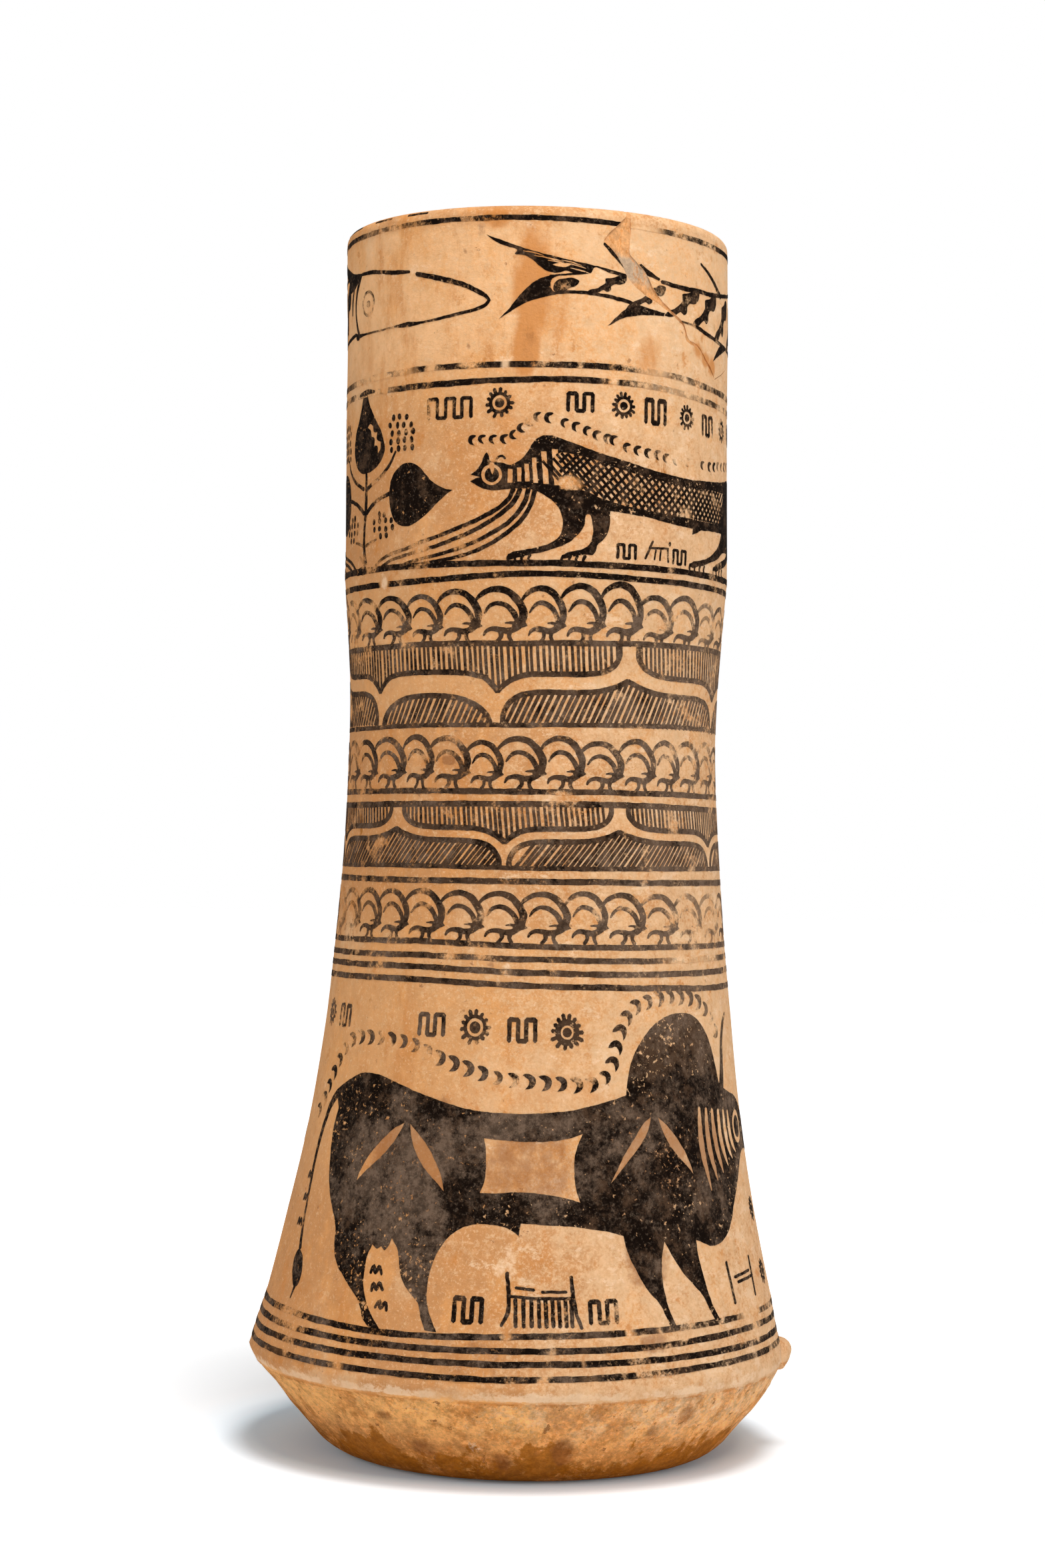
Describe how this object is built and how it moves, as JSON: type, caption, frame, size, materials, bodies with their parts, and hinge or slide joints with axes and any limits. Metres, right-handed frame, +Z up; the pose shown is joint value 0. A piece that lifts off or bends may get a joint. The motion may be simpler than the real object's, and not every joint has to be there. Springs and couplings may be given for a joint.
{
  "type": "terracotta storage jar",
  "caption": "Tall terracotta storage jar with a bowl base, flaring skirt, waisted middle and straight neck, for keeping dry goods upright on its flat foot.",
  "frame": {"origin": "centre of the flat foot, on the surface the jar stands on", "axes": "+Z up along the jar's axis; the painted front faces -Y; the lug is close to +X"},
  "size_m": [0.253, 0.2466, 0.56],
  "materials": {
    "terracotta": "matt buff slip over fired clay",
    "base_clay": "matt unslipped clay, worn",
    "luting_clay": "matt smeared clay",
    "break_filler": "matt rough filler",
    "black_slip": "matt painted slip, worn"
  },
  "bodies": {
    "root": {"base_bowl": "base_clay", "skirt_wall": "terracotta", "waist_wall": "terracotta", "neck_wall": "terracotta", "rim_sherd": "terracotta", "break_fill": "break_filler", "carination_lug": "terracotta", "base_join_coil": "luting_clay", "waist_join_coil": "luting_clay", "neck_join_coil": "luting_clay"}
  },
  "joints": []
}
